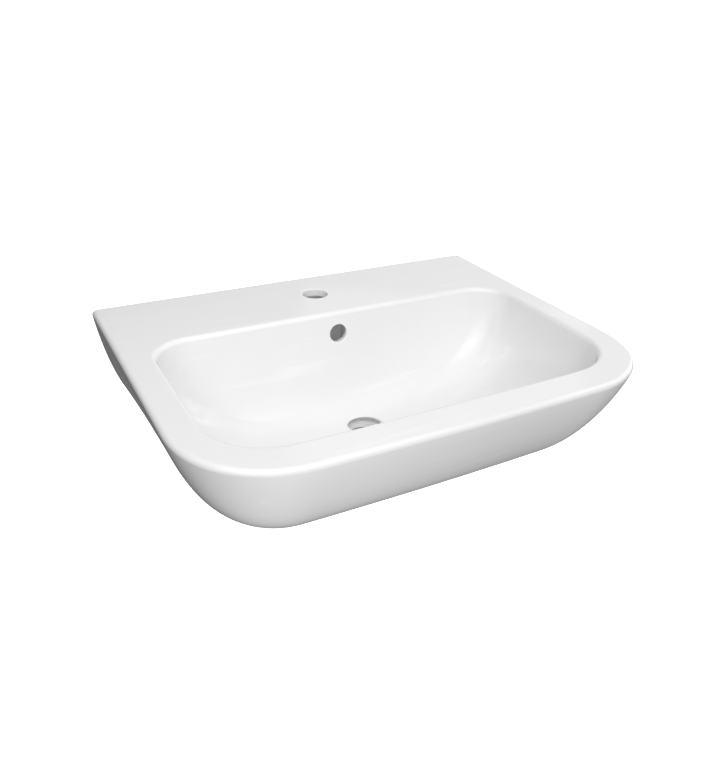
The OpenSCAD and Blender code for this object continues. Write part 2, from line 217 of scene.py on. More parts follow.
def combine(tree, operation, first, *others):
    node = tree.nodes.new("GeometryNodeMeshBoolean")
    node.operation = operation
    node.solver = "MANIFOLD"
    tree.links.new(first, node.inputs["Mesh 1" if operation == "DIFFERENCE" else "Mesh 2"])
    for other in others:
        tree.links.new(other, node.inputs["Mesh 2"])
    return node.outputs[0]


def plainMesh(name, tree, values, material):
    # runs a tree on an empty mesh and keeps the result as a mesh of its own
    holder = bpy.data.objects.new(name + "Maker", bpy.data.meshes.new(name + "Maker"))
    bpy.context.scene.collection.objects.link(holder)
    modifier = holder.modifiers.new("maker", "NODES")
    modifier.node_group = tree
    for socket in tree.interface.items_tree:
        if socket.item_type == "SOCKET" and socket.in_out == "INPUT" and socket.name in values:
            modifier[socket.identifier] = values[socket.name]
    graph = bpy.context.evaluated_depsgraph_get()
    mesh = bpy.data.meshes.new_from_object(holder.evaluated_get(graph), depsgraph=graph)
    holder.modifiers.clear()
    bpy.data.objects.remove(holder)
    mesh.name = name
    mesh.materials.clear()
    mesh.materials.append(material)
    piece = bpy.data.objects.new(name, mesh)
    bpy.context.scene.collection.objects.link(piece)
    return piece


def smoothShade(piece, sharpAngle):
    mesh = piece.data
    mesh.shade_smooth()
    mesh.set_sharp_from_angle(angle=math.radians(sharpAngle))
    modifier = piece.modifiers.new("normals", "WEIGHTED_NORMAL")
    modifier.keep_sharp = True
    modifier.weight = 50
    with bpy.context.temp_override(object=piece, active_object=piece, selected_objects=[piece]):
        bpy.ops.object.modifier_apply(modifier="normals")


def newMaterial(name):
    material = bpy.data.materials.new(name)
    material.use_nodes = True
    tree = material.node_tree
    shader = next(n for n in tree.nodes if n.type == "BSDF_PRINCIPLED")
    return material, tree, shader


def noiseOf(tree, place, scale, detail=2.0, roughness=0.5):
    node = addNode(tree, "ShaderNodeTexNoise", Scale=scale, Detail=detail, Roughness=roughness)
    tree.links.new(place, node.inputs["Vector"])
    return Field(tree, node.outputs[0])


def rangeOf(tree, value, low, high, fromLow, fromHigh):
    node = addNode(tree, "ShaderNodeMapRange")
    for slot, number in zip(node.inputs, (value, fromLow, fromHigh, low, high)):
        feed(tree, slot, number)
    return Field(tree, node.outputs[0])


def mixColours(tree, share, first, second):
    node = addNode(tree, "ShaderNodeMix", {"data_type": "RGBA"})
    for slot, value in ((0, share), (6, first), (7, second)):
        feed(tree, node.inputs[slot], value)
    return node.outputs[2]


def addBump(tree, shader, height, strength, distance):
    bump = addNode(tree, "ShaderNodeBump", Strength=strength, Distance=distance)
    feed(tree, bump.inputs["Height"], height)
    tree.links.new(bump.outputs[0], shader.inputs["Normal"])


def coordinates(tree):
    return addNode(tree, "ShaderNodeTexCoord").outputs["Object"]


# most of a noise texture's values lie inside these
cloudRange = (0.35, 0.65)
grainRange = (0.3, 0.7)

china = dict(
    glaze=(0.863, 0.863, 0.863, 1.0), shade=(0.838, 0.838, 0.838, 1.0), cloudScale=5.0,
    biscuit=(0.80, 0.785, 0.75, 1.0), biscuitRoughness=0.78,
    footLevel=-0.0705, backPlane=-0.0012,  # past these two the clay is bare
    borderScale=38.0, borderDepth=0.003, backBorderShare=0.3,
    # the lighter colour and the noise of the painted reflection streaks in the glaze
    reflectionStreak=(0.898, 0.898, 0.898, 1.0), reflectionStreakTurn=(0.25, 0.0, 0.42), reflectionStreakScale=(4.0, 42.0, 42.0),
    reflectionStreakStart=0.60, reflectionStreakFull=0.74,
    smooth=0.05, rough=0.085, smearScale=14.0, refraction=1.52,
    flowScale=17.0, flowDepth=0.00016, rippleScale=55.0, rippleDepth=0.00002,
    grainScale=900.0, grainDepth=0.00012, reliefStrength=0.6,
)


def glazedChina():
    material, tree, shader = newMaterial("glazedChina")
    place = coordinates(tree)
    split = addNode(tree, "ShaderNodeSeparateXYZ", Vector=place)
    y, z = Field(tree, split.outputs[1]), Field(tree, split.outputs[2])
    wobble = (noiseOf(tree, place, china["borderScale"]) - 0.5) * china["borderDepth"]
    # bare clay where the ware stands in the kiln and meets the wall
    under = (z + wobble).math("LESS_THAN", china["footLevel"])
    back = (y + wobble * china["backBorderShare"]).math("GREATER_THAN", china["backPlane"])
    bare = limit(under + back)
    cloud = noiseOf(tree, place, china["cloudScale"], detail=3.0)
    tint = mixColours(tree, rangeOf(tree, cloud, 0.0, 1.0, *cloudRange), china["glaze"], china["shade"])
    # painted reflections: faint lighter streaks, long and thin, painted into the glaze's colour, that run
    # along the bowl
    swept = addNode(tree, "ShaderNodeMapping", Vector=place)
    swept.inputs["Rotation"].default_value = china["reflectionStreakTurn"]
    swept.inputs["Scale"].default_value = china["reflectionStreakScale"]
    mark = noiseOf(tree, swept.outputs[0], 1.0, detail=4.0, roughness=0.6)
    streak = rangeOf(tree, mark, 0.0, 1.0, china["reflectionStreakStart"], china["reflectionStreakFull"])
    reflectionStreaked = mixColours(tree, streak, tint, china["reflectionStreak"])
    tree.links.new(mixColours(tree, bare, reflectionStreaked, china["biscuit"]), shader.inputs["Base Color"])
    smear = rangeOf(tree, noiseOf(tree, place, china["smearScale"], detail=4.0),
                    china["smooth"], china["rough"], *grainRange)
    feed(tree, shader.inputs["Roughness"], mix(smear, china["biscuitRoughness"], bare))
    shader.inputs["IOR"].default_value = china["refraction"]
    # the glaze flows a little, so reflections aren't dead straight
    flow = (noiseOf(tree, place, china["flowScale"], detail=1.0) * china["flowDepth"]
            + noiseOf(tree, place, china["rippleScale"], detail=1.0) * china["rippleDepth"])
    grain = noiseOf(tree, place, china["grainScale"], detail=3.0)
    height = flow + (grain - 0.5) * bare * china["grainDepth"]
    addBump(tree, shader, height, strength=china["reliefStrength"], distance=1.0)
    return material


zinc = dict(
    blue=(0.60, 0.62, 0.66, 1.0), yellow=(0.72, 0.72, 0.70, 1.0), cloudScale=160.0,
    smooth=0.22, rough=0.42, scuffScale=900.0, scuffDepth=0.0001, reliefStrength=0.35,
)


def zincPlate():
    material, tree, shader = newMaterial("zincPlate")
    place = coordinates(tree)
    cloud = noiseOf(tree, place, zinc["cloudScale"], detail=4.0)
    tint = mixColours(tree, rangeOf(tree, cloud, 0.0, 1.0, *cloudRange), zinc["blue"], zinc["yellow"])
    tree.links.new(tint, shader.inputs["Base Color"])
    shader.inputs["Metallic"].default_value = 1.0
    scuff = noiseOf(tree, place, zinc["scuffScale"], detail=3.0)
    feed(tree, shader.inputs["Roughness"],
         rangeOf(tree, scuff, zinc["smooth"], zinc["rough"], *grainRange))
    addBump(tree, shader, scuff, strength=zinc["reliefStrength"], distance=zinc["scuffDepth"])
    return material


flowScale = 45.0  # of the melt's faint clouds, a few centimetres across
mouldedPlastics = dict(
    greyNylon=dict(dark=(0.13, 0.135, 0.145, 1.0), light=(0.17, 0.175, 0.185, 1.0),
                   smooth=0.42, rough=0.6, grainScale=1400.0, grainDepth=0.00008),
    naturalNylon=dict(dark=(0.62, 0.60, 0.52, 1.0), light=(0.70, 0.68, 0.60, 1.0),
                      smooth=0.32, rough=0.46, grainScale=1100.0, grainDepth=0.00005),
    whitePlastic=dict(dark=(0.80, 0.80, 0.79, 1.0), light=(0.84, 0.84, 0.83, 1.0),
                      smooth=0.16, rough=0.26, grainScale=700.0, grainDepth=0.00003),
)


def mouldedPlastic(name):
    look = mouldedPlastics[name]
    material, tree, shader = newMaterial(name)
    place = coordinates(tree)
    flow = noiseOf(tree, place, flowScale, detail=3.0)
    tint = mixColours(tree, rangeOf(tree, flow, 0.0, 1.0, *grainRange), look["dark"], look["light"])
    tree.links.new(tint, shader.inputs["Base Color"])
    grain = noiseOf(tree, place, look["grainScale"])
    feed(tree, shader.inputs["Roughness"],
         rangeOf(tree, grain, look["smooth"], look["rough"], *grainRange))
    addBump(tree, shader, grain, strength=0.5, distance=look["grainDepth"])
    return material


chinaMaterial = glazedChina()
zincMaterial = zincPlate()
plugMaterial = mouldedPlastic("greyNylon")
bushMaterial = mouldedPlastic("naturalNylon")
capMaterial = mouldedPlastic("whitePlastic")
print("materials made")


basin = dict(
    width=0.580, depth=0.450, frontRadius=0.120, backRadius=0.003, frontBow=0.006,
    edgeRadius=0.006, wallEdgeRadius=0.002, deckThickness=0.010, deckLevel=0.078,
    # the apron, its foot and the wall behind
    apronHeight=0.150, apronCurve=1.15, apronTurn=2.5, apronThickness=0.009, apronThickening=0.6,
    footWidthShare=0.77, footDepthShare=0.67, footTaper=0.25, footRadius=0.028, footBow=0.002,
    footEdgeHeight=0.001, footEdgeWidth=0.002, footRim=0.012, footRecess=0.010, recessDraft=0.002,
    backThickness=0.020,
    # the hollow between the apron and the bowl, whose floor rises towards the front
    hollowFloor=-0.131, hollowFloorFront=-0.108, riseStart=0.5, riseLength=0.25,
    hollowRadius=0.014, bossOverlap=0.002,
    # the bowl
    bowlWidth=0.504, ledgeDepth=0.136, rimDepth=0.046, bowlBackRadius=0.046, bowlFrontRadius=0.078,
    bowlFlatter=0.002, lipRadius=0.007, bowlDepth=0.127, floorFall=0.005, draft=0.12,
    bowlCurve=3.2, bowlTurn=3.0, bowlThickness=0.0095,
    # the waste hole, its boss and the ring under its lip
    wasteRadius=0.023, wasteFromWall=0.221, wasteSlope=math.tan(math.radians(6.0)), wasteEdge=0.0025,
    bossRadius=0.038, bossDrop=0.018, bossEdge=0.003, boreEdge=0.0015,
    galleryDepth=0.009, galleryDrop=0.0042, galleryHeight=0.0085,
    # the tap hole, and the overflow with its duct
    tapRadius=0.0175, tapFromWall=0.064, tapEdge=0.0016,
    overflowRadius=0.01225, overflowDrop=0.030, overflowEdge=0.0018, overflowLip=0.0032,
    overflowFlare=0.004, ductWidth=0.040, ductDepth=0.021, ductSkin=0.009, ductSetBack=0.007,
    ductRise=0.014, ductHeight=0.014, ductFootFront=0.0245, ductSlot=0.032, slotHeight=0.005,
    # the wall fixings and the room for their nuts
    fixingPitch=0.280, fixingRadius=0.009, padRadius=0.024, padHeight=0.006,
    serviceShare=0.64, serviceFront=0.006,
)
basinInputs = [(label, "NodeSocketFloat", value) for label, value in basin.items()]
cornerShape = 2.24  # the front corners' power; 2 would be a true circle
quarter = math.pi / 2
fullTurn = 2 * math.pi
basinColumns = 288
# steps along half the outline, from the middle of the back to the middle of the front
outlineSteps = dict(back=5, backCorner=4, side=8, frontCorner=12, front=7)
# rows of faces in each sheet
sheetRows = dict(
    skin=dict(Bowl=84, Lip=14, Deck=14, Edge=14, Apron=72, FootEdge=3, FootRim=2, FootStep=2,
              Underside=4, BossSide=4, BossEdge=6, BossFace=2, BoreEdge=5, Bore=4, WasteEdge=8),
    hollow=dict(HollowOut=14, HollowRoofOut=6, HollowRoof=2, HollowRoofIn=6, HollowIn=14,
                HollowFloor=1),
)
lineKeys = ["Half Width", "Back", "Front", "Back Radius", "Front Radius", "Taper", "Bow"]


def foldedColumn(column):
    # counts the steps from the middle of the back, on either side
    return (1.0 - (column * 2.0 - 1.0).math("ABSOLUTE")) * float(sum(outlineSteps.values()))


def outlineGroup():
    tree, given = newTree("basinOutline", [(n, "NodeSocketFloat", None) for n in ["Column"] + lineKeys],
                          [("X", "NodeSocketFloat"), ("Y", "NodeSocketFloat")])
    half, backRadius, frontRadius = given["Half Width"], given["Back Radius"], given["Front Radius"]
    step = foldedColumn(given["Column"])
    side = (0.5 - given["Column"]).math("SIGN")
    along, start = [], 0
    for count in outlineSteps.values():
        along.append(limit((step - start) / count))
        start += count
    back, turn, wall, bend, front = along
    bendX = cosine(bend * quarter).math("MAXIMUM", 0.0) ** (2 / cornerShape)
    bendY = sine(bend * quarter).math("MAXIMUM", 0.0) ** (2 / cornerShape)
    x = ((half - backRadius) * back + backRadius * sine(turn * quarter)
         - frontRadius * (1.0 - bendX) - (half - frontRadius) * front)
    reach = given["Back"] - given["Front"]
    y = (backRadius * (1.0 - cosine(turn * quarter)) + (reach - frontRadius - backRadius) * wall
         + frontRadius * bendY)
    share = y / reach
    end = tree.nodes.new("NodeGroupOutput")
    feed(tree, end.inputs[0], side * x * (1.0 - given["Taper"] * share))
    feed(tree, end.inputs[1], given["Back"] - y + given["Bow"] * (share * x / half) ** 2.0)
    return tree


outlineTree = outlineGroup()


def outlinePoint(tree, column, line):
    node = tree.nodes.new("GeometryNodeGroup")
    node.node_tree = outlineTree
    feed(tree, node.inputs["Column"], column)
    for key, value in zip(lineKeys, line):
        feed(tree, node.inputs[key], value)
    return Field(tree, node.outputs[0]), Field(tree, node.outputs[1])


def grown(line, amount):
    half, back, front, backRadius, frontRadius, taper, bow = line
    leastRadius = 0.001
    return [half + amount, back + amount, front - amount,
            (backRadius + amount).math("MAXIMUM", leastRadius),
            (frontRadius + amount).math("MAXIMUM", leastRadius), taper, bow]


def band(first, last, curve="straight"):
    # a sheet from one ring to another, straight or as a quarter of an ellipse
    def shape(column, row):
        a, b = first(column), last(column)
        slow, fast = 1.0 - cosine(row * quarter), sine(row * quarter)
        flat, upright = {"straight": (row, row), "upFirst": (slow, fast), "flatFirst": (fast, slow)}[curve]
        return mix(a[0], b[0], flat), mix(a[1], b[1], flat), mix(a[2], b[2], upright)
    return shape


class BasinForms:
    # the basin's outlines in one tree, and the shapes of its sheets, with the deck at level 0
    def __init__(self, tree, s):
        self.tree = tree
        self.s = s
        self.zero = constant(tree, 0.0)
        self.deckLine = [s["width"] * 0.5, self.zero, -s["depth"], s["backRadius"],
                         s["frontRadius"], self.zero, s["frontBow"]]
        self.footLine = [s["footWidthShare"] * s["width"] * 0.5, self.zero,
                         -(s["footDepthShare"] * s["depth"]), s["backRadius"],
                         s["footRadius"], s["footTaper"], s["footBow"]]
        self.bowlLine = [s["bowlWidth"] * 0.5, -s["ledgeDepth"], s["rimDepth"] - s["depth"],
                         s["bowlBackRadius"], s["bowlFrontRadius"], self.zero,
                         s["frontBow"] - s["bowlFlatter"]]
        self.wallHeight = s["apronHeight"] - s["edgeRadius"]
        lastHeight = (s["apronHeight"] - s["footEdgeHeight"] - s["edgeRadius"]) / self.wallHeight
        self.lastShare = self.apronShare(lastHeight)

    def ring(self, line, z):
        return lambda column: outlinePoint(self.tree, column, line) + (z,)

    def wasteRing(self, radius, z, onFloor=False):
        # a circle round the waste hole, each point in line with one of the bowl's outline
        s = self.s

        def place(column):
            x, y = outlinePoint(self.tree, column, self.bowlLine)
            dy = y + s["wasteFromWall"]
            k = radius / (x * x + dy * dy).math("SQRT")
            level = z - s["wasteSlope"] * (dy * k) if onFloor else z
            return x * k, dy * k - s["wasteFromWall"], level
        return place

    def bowl(self, column, row):
        s = self.s
        # eased, so that the rows lie closest at the rim and round the waste hole
        angle = eased(1.0 - row) * quarter
        share = 1.0 - cosine(angle).math("MAXIMUM", 0.0) ** (2.0 / s["bowlTurn"])
        fall = (s["bowlDepth"] - s["floorFall"] - s["lipRadius"]) * sine(angle) ** (2.0 / s["bowlCurve"])
        wallLine = grown(self.bowlLine, -(s["draft"] * fall * (1.0 - share)))
        wallX, wallY = outlinePoint(self.tree, column, wallLine)
        wasteX, wasteY = self.wasteRing(s["wasteRadius"] + s["wasteEdge"], self.zero)(column)[:2]
        x, y = mix(wallX, wasteX, share), mix(wallY, wasteY, share)
        z = -s["lipRadius"] - fall - s["floorFall"] * share
        return x, y, z - s["wasteSlope"] * (y + s["wasteFromWall"]) * share * share

    def apronShare(self, height):
        # how far the apron has drawn in at a height, from the deck's outline to the foot's
        left = (1.0 - height ** self.s["apronCurve"]).math("MAXIMUM", 0.0)
        return 1.0 - left ** (1.0 / self.s["apronTurn"])

    def apronLine(self, share):
        return [mix(a, b, share) for a, b in zip(self.deckLine, self.footLine)]

    def apron(self, column, row):
        s = self.s
        # the rows are spread by angle, so that they lie closer where the apron turns under
        angle = row * ((1.0 - self.lastShare) ** (s["apronTurn"] * 0.5)).math("ARCCOSINE")
        share = 1.0 - cosine(angle) ** (2.0 / s["apronTurn"])
        height = (1.0 - (1.0 - share) ** s["apronTurn"]).math("MAXIMUM", 0.0) ** (1.0 / s["apronCurve"])
        level = -s["edgeRadius"] - self.wallHeight * height
        return outlinePoint(self.tree, column, self.apronLine(share)) + (level,)

    def skin(self):
        s = self.s
        bottom = -s["apronHeight"]
        recess = s["footRecess"] - s["apronHeight"]
        bossLow = bottom - s["bossDrop"]
        edgeLine = [self.deckLine[0] - s["edgeRadius"], -s["wallEdgeRadius"],
                    s["edgeRadius"] - s["depth"], s["backRadius"],
                    s["frontRadius"] - s["edgeRadius"], self.zero, s["frontBow"]]
        standLine = self.apronLine(self.lastShare)
        # the rings at which one sheet ends and the next begins
        bowlTop = self.ring(self.bowlLine, -s["lipRadius"])
        lipTop = self.ring(grown(self.bowlLine, s["lipRadius"]), self.zero)
        deckOut = self.ring(edgeLine, self.zero)
        edgeLow = self.ring(self.deckLine, -s["edgeRadius"])
        apronLow = self.ring(standLine, bottom + s["footEdgeHeight"])
        footOut = self.ring(grown(standLine, -s["footEdgeWidth"]), bottom)
        footIn = self.ring(grown(standLine, -s["footRim"]), bottom)
        recessOut = self.ring(grown(standLine, -s["footRim"] - s["recessDraft"]), recess)
        bossTop = self.wasteRing(s["bossRadius"], recess)
        bossSide = self.wasteRing(s["bossRadius"], bossLow + s["bossEdge"])
        bossFlat = self.wasteRing(s["bossRadius"] - s["bossEdge"], bossLow)
        boreFlat = self.wasteRing(s["wasteRadius"] + s["boreEdge"], bossLow)
        boreLow = self.wasteRing(s["wasteRadius"], bossLow + s["boreEdge"])
        boreHigh = self.wasteRing(s["wasteRadius"], -s["bowlDepth"] - s["wasteEdge"], True)
        floorEdge = self.wasteRing(s["wasteRadius"] + s["wasteEdge"], -s["bowlDepth"], True)
        return dict(
            Bowl=self.bowl,
            Lip=band(bowlTop, lipTop, "upFirst"),
            Deck=band(lipTop, deckOut),
            Edge=band(deckOut, edgeLow, "flatFirst"),
            Apron=self.apron,
            FootEdge=band(apronLow, footOut, "upFirst"),
            FootRim=band(footOut, footIn),
            FootStep=band(footIn, recessOut),
            Underside=band(recessOut, bossTop),
            BossSide=band(bossTop, bossSide),
            BossEdge=band(bossSide, bossFlat, "upFirst"),
            BossFace=band(bossFlat, boreFlat),
            BoreEdge=band(boreFlat, boreLow, "flatFirst"),
            Bore=band(boreLow, boreHigh),
            WasteEdge=band(boreHigh, floorEdge, "upFirst"),
        )

    def hollowLevel(self, column, t):
        # from the hollow's roof, where t is 0, down to its floor
        s = self.s
        y = outlinePoint(self.tree, column, self.deckLine)[1]
        far = limit((-y / s["depth"] - s["riseStart"]) / s["riseLength"])
        low = mix(s["hollowFloor"], s["hollowFloorFront"], eased(far))
        return mix(-s["deckThickness"], low, t)

    def apronSide(self, column, z):
        s = self.s
        share = self.apronShare(limit((-z - s["edgeRadius"]) / self.wallHeight))
        line = grown(self.apronLine(share), -(s["apronThickness"] * (1.0 + s["apronThickening"] * share)))
        line[lineKeys.index("Back")] = -s["backThickness"]
        line[lineKeys.index("Back Radius")] = s["hollowRadius"]
        return outlinePoint(self.tree, column, line) + (z,)

    def bowlSide(self, column, z):
        s = self.s
        height = limit(-z / (s["bowlDepth"] + s["bowlThickness"]))
        share = 1.0 - (1.0 - height ** s["bowlCurve"]).math("MAXIMUM", 0.0) ** (1.0 / s["bowlTurn"])
        wallX, wallY = outlinePoint(self.tree, column, grown(self.bowlLine, s["bowlThickness"]))
        wasteX, wasteY = self.wasteRing(s["bossRadius"] - s["bossOverlap"], self.zero)(column)[:2]
        return mix(wallX, wasteX, share), mix(wallY, wasteY, share), z

    def sideRing(self, side, t):
        return lambda column: side(column, self.hollowLevel(column, t))

    def roofRing(self, t):
        level = -self.s["deckThickness"]

        def place(column):
            a, b = self.apronSide(column, level), self.bowlSide(column, level)
            return mix(a[0], b[0], t), mix(a[1], b[1], t), level
        return place

    def hollow(self):
        # shares of the hollow's height, and of its width, at which its rounded shoulders end
        top, outer, inner = 0.12, 0.25, 0.75
        return dict(
            HollowOut=lambda column, row: self.apronSide(
                column, self.hollowLevel(column, 1.0 - row * (1.0 - top))),
            HollowRoofOut=band(self.sideRing(self.apronSide, top), self.roofRing(outer), "upFirst"),
            HollowRoof=band(self.roofRing(outer), self.roofRing(inner)),
            HollowRoofIn=band(self.roofRing(inner), self.sideRing(self.bowlSide, top), "flatFirst"),
            HollowIn=lambda column, row: self.bowlSide(
                column, self.hollowLevel(column, top + row * (1.0 - top))),
            HollowFloor=band(self.sideRing(self.bowlSide, 1.0), self.sideRing(self.apronSide, 1.0)),
        )


def sheetGroups(part, columns):
    # each sheet is a tree of its own, which keeps every tree small
    groups = []
    for name, rows in sheetRows[part].items():
        tree, s = newTree("basin" + name, basinInputs, [("Geometry", "NodeSocketGeometry")])
        forms = BasinForms(tree, s)
        shapes = forms.skin() if part == "skin" else forms.hollow()
        groups.append(endTree(tree, sheetOf(tree, columns, rows, shapes[name])))
    return groups


# how far the cutters pass the faces that they cut, or keep off them, so that no thin skin is left
cutterReach = dict(
    case=0.03, caseTop=0.05, caseLow=0.001, belly=0.001, ductFoot=0.0012, slot=0.0005,
    service=0.0005, tapIn=0.03, tapOut=0.01, overflowIn=0.016, overflowOut=0.02,
    overflowFace=0.0003, flare=0.004, flareInset=0.0002, pad=0.004, fixingHole=0.002,
)
cutterColumns = 96


def roundCutter():
    # a drill with a flare, so that the hole's rim comes out rounded
    names = ["radius", "edge", "inside", "outside"]
    tree, s = newTree("roundCutter", [(n, "NodeSocketFloat", None) for n in names],
                      [("Geometry", "NodeSocketGeometry")])
    radius, edge, inside, outside = [s[n] for n in names]
    nearlyFlat = math.radians(84.0)  # the flare ends here, just short of level
    brimWidth, brimRise = 0.0012, 0.00013
    lift = edge * (1.0 - math.sin(nearlyFlat))
    lastRadius = radius + edge * (1.0 - math.cos(nearlyFlat))
    wide = lastRadius + brimWidth
    zero = constant(tree, 0.0)
    brim = zero + brimRise

    def around(column, r, z):
        turn = column * fullTurn
        return r * sine(turn), r * cosine(turn), z

    def flare(column, row):
        angle = row * nearlyFlat
        return around(column, radius + edge * (1.0 - cosine(angle)), lift - edge + edge * sine(angle))

    def spun(start, end):
        return lambda column, row: around(column, mix(start[0], end[0], row), mix(start[1], end[1], row))

    # rows and shape of each sheet, from the drill's tip to its top
    sheets = [
        (1, spun((zero, -inside), (radius, -inside))),
        (2, spun((radius, -inside), (radius, lift - edge))),
        (8, flare),
        (1, spun((lastRadius, zero), (wide, brim))),
        (1, spun((wide, brim), (wide, outside))),
        (1, spun((wide, outside), (zero, outside))),
    ]
    shell = closedShell(tree, [sheetOf(tree, cutterColumns, rows, shape) for rows, shape in sheets],
                        turned=True)
    return endTree(tree, shell)


def ductBoxes(tree, s):
    # the solid round the overflow's duct and under the bowl, and the duct's well and slot
    half, caseHalf = s["ductWidth"] * 0.5, s["ductWidth"] * 0.5 + s["ductSkin"]
    back = s["ductDepth"] - s["ledgeDepth"] + s["ductSetBack"]
    caseBack = back + s["ductSkin"]
    belly = -s["bowlDepth"] - s["bowlThickness"] - cutterReach["belly"]
    low = belly - s["ductHeight"]
    bossLow = -s["apronHeight"] - s["bossDrop"]
    caseFront = caseBack - s["ductDepth"] - s["ductSkin"] - cutterReach["case"]
    case = boxOf(tree, (-caseHalf, caseFront, bossLow - cutterReach["caseLow"]),
                 (caseHalf, caseBack, constant(tree, cutterReach["caseTop"])))
    foot = boxOf(tree, (-caseHalf, s["ductFootFront"] - s["wasteFromWall"], low - s["ductSkin"]),
                 (caseHalf, caseBack, belly + cutterReach["ductFoot"]))
    well = boxOf(tree, (-half, back - s["ductDepth"], low),
                 (half, back, s["ductRise"] - s["overflowDrop"]))
    slot = boxOf(tree, (-(s["ductSlot"] * 0.5), -s["wasteFromWall"], low),
                 (s["ductSlot"] * 0.5, back - cutterReach["slot"], low + s["slotHeight"]))
    return case, foot, well, slot


def serviceBox(tree, s):
    # the room under the ledge, where the spanner and the tap's tails go
    half = s["serviceShare"] * s["width"] * 0.5
    return boxOf(tree, (-half, -s["ledgeDepth"] - s["serviceFront"], -s["apronHeight"] - s["bossDrop"]),
                 (half, -s["backThickness"], s["hollowFloor"] + cutterReach["service"]))


def holeCutters(tree, s):
    # the tap hole, the overflow and its widening towards the duct, and the waste hole's ring
    zero = constant(tree, 0.0)
    drill = roundCutter()
    tap = moved(tree, groupOf(tree, drill, dict(
        radius=s["tapRadius"], edge=s["tapEdge"],
        inside=cutterReach["tapIn"], outside=cutterReach["tapOut"])),
        (zero, -s["tapFromWall"], zero))
    overflowY = (-s["ledgeDepth"] - s["draft"] * (s["overflowDrop"] - s["lipRadius"])
                 - cutterReach["overflowFace"])
    overflow = moved(tree, groupOf(tree, drill, dict(
        radius=s["overflowRadius"], edge=s["overflowEdge"],
        inside=cutterReach["overflowIn"], outside=cutterReach["overflowOut"])),
        (zero, overflowY, -s["overflowDrop"]), (quarter - s["draft"].math("ARCTANGENT"), zero, zero))
    length = s["bowlThickness"] + cutterReach["flare"] - s["overflowLip"]
    cone = addNode(tree, "GeometryNodeMeshCone", Vertices=cutterColumns, Depth=length,
                   Radius_Top=s["overflowRadius"] - cutterReach["flareInset"],
                   Radius_Bottom=s["overflowRadius"] + s["overflowFlare"])
    flare = moved(tree, cone.outputs[0], (zero, overflowY + s["overflowLip"] + length, -s["overflowDrop"]),
                  (quarter, zero, zero))
    drum = addNode(tree, "GeometryNodeMeshCylinder", Vertices=128,
                   Radius=s["wasteRadius"] + s["galleryDepth"], Depth=s["galleryHeight"])
    drumLevel = -s["bowlDepth"] - s["galleryDrop"] - s["galleryHeight"] * 0.5
    gallery = moved(tree, drum.outputs[0], (zero, -s["wasteFromWall"], drumLevel))
    return tap, overflow, flare, gallery


def fixingCutters(tree, s):
    # the pads left standing in the hollow, and the bolts' holes through them
    def acrossWall(radius, fromY, toY, side):
        drum = addNode(tree, "GeometryNodeMeshCylinder", Vertices=64, Radius=radius, Depth=fromY - toY)
        place = (s["fixingPitch"] * (0.5 * side), (fromY + toY) * 0.5, -s["deckLevel"])
        return moved(tree, drum.outputs[0], place, (quarter, 0.0, 0.0))

    wall = constant(tree, 0.0)
    padBack = -s["backThickness"] + cutterReach["pad"]
    padFront = -s["backThickness"] - s["padHeight"]
    pads = [acrossWall(s["padRadius"], padBack, padFront, side) for side in (-1, 1)]
    past = cutterReach["fixingHole"]
    holes = [acrossWall(s["fixingRadius"], wall + past, padFront - past, side) for side in (-1, 1)]
    return pads, holes


def basinTree():
    tree, s = newTree("washbasinBody", basinInputs, [("Geometry", "NodeSocketGeometry")])
    skin = closedShell(tree, [groupOf(tree, g, s) for g in sheetGroups("skin", basinColumns)])
    hollow = closedShell(tree, [groupOf(tree, g, s) for g in sheetGroups("hollow", basinColumns // 2)],
                         turned=True)
    case, ductFoot, ductWell, ductSlot = ductBoxes(tree, s)
    tap, overflow, flare, gallery = holeCutters(tree, s)
    pads, holes = fixingCutters(tree, s)

    hollow = combine(tree, "DIFFERENCE", hollow, case, *pads)
    service = combine(tree, "DIFFERENCE", serviceBox(tree, s), case)
    body = combine(tree, "DIFFERENCE", skin, hollow, service)
    body = combine(tree, "UNION", body, ductFoot)
    body = combine(tree, "DIFFERENCE", body, tap, overflow, ductWell, ductSlot, *holes)
    body = combine(tree, "DIFFERENCE", body, flare, gallery)
    return finishTree(tree, moved(tree, body, (0.0, 0.0, s["deckLevel"])), chinaMaterial)


chinaNodes = [part["node"] for part in frame["record"]["subparts"]
              if part["material_slot"] == "glazed_china"]


def makeBasin():
    piece = plainMesh("washbasin_china", basinTree(), basin, chinaMaterial)
    smoothShade(piece, sharpAngle=32)
    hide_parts(*chinaNodes)
    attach(piece, "root")
    print("basin made:", len(piece.data.polygons), "faces")


makeBasin()


fixingSpacing = basin["fixingPitch"]


def roundPoint(column, radius, z):
    turn = column * fullTurn
    return radius * cosine(turn), radius * sine(turn), z


def lathedSheets(tree, columns, stations):
    # sheets of a turned body through (radius, level) stations; a radius may depend on the column
    def radiusAt(station, column):
        return station[0](column) if callable(station[0]) else station[0]

    def lathed(first, last):
        def shape(column, row):
            radius = mix(radiusAt(first, column), radiusAt(last, column), row)
            return roundPoint(column, radius, mix(first[1], last[1], row))
        return shape

    return [sheetOf(tree, columns, 1, lathed(a, b)) for a, b in zip(stations, stations[1:])]


def hexagon(corner):
    # radius of a six-sided outline whose corner lies on the first column
    def radius(column):
        share = (column * 6.0).math("FRACT") - 0.5
        return corner * math.cos(math.pi / 6) / cosine(share * (math.pi / 3))
    return radius


def fixingTree(name, sizes):
    inputs = [(label, "NodeSocketFloat", value) for label, value in sizes.items()]
    inputs.append(("spacing", "NodeSocketFloat", fixingSpacing))
    return newTree(name, inputs, [("Geometry", "NodeSocketGeometry")])


